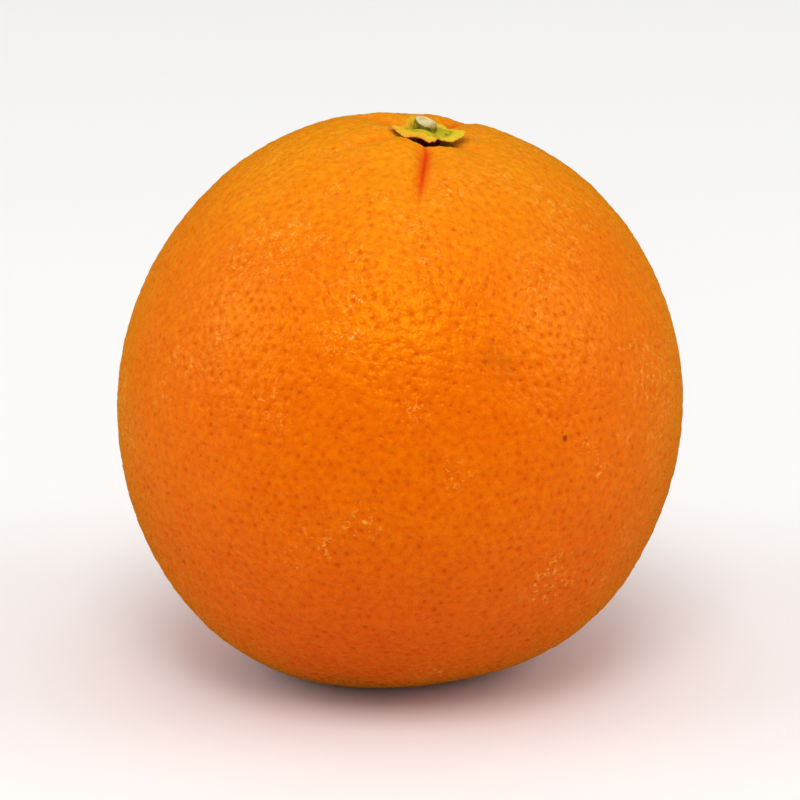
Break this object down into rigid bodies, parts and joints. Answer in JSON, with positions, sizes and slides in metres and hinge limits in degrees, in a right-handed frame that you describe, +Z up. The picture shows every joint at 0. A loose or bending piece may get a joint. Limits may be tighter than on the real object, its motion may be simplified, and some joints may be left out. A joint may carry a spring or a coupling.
{
  "type": "orange",
  "caption": "Whole sweet orange, nearly round, with a pebbled peel, a furrowed stem basin, a small green star-shaped calyx and a cut stem stub; rests on a small flat spot.",
  "frame": {"origin": "on the resting plane, under the middle of the whole orange's box", "axes": "+Z straight up, out of the flat resting spot; the stem end leans about 6 degrees from +Z towards +X; the deepest furrow runs down from the stem on the -Y side"},
  "size_m": [0.0782, 0.0782, 0.0781],
  "materials": {
    "peel": "waxy orange citrus peel, semi-matt, pitted with oil glands",
    "calyx": "dull yellow-green plant tissue, paler along the lobes' edges",
    "stem": "dry cut stalk, pale cream wood with an olive-green bark"
  },
  "bodies": {
    "root": {"fruit": "peel", "calyx": "calyx", "stem_stub": "stem"}
  },
  "joints": []
}
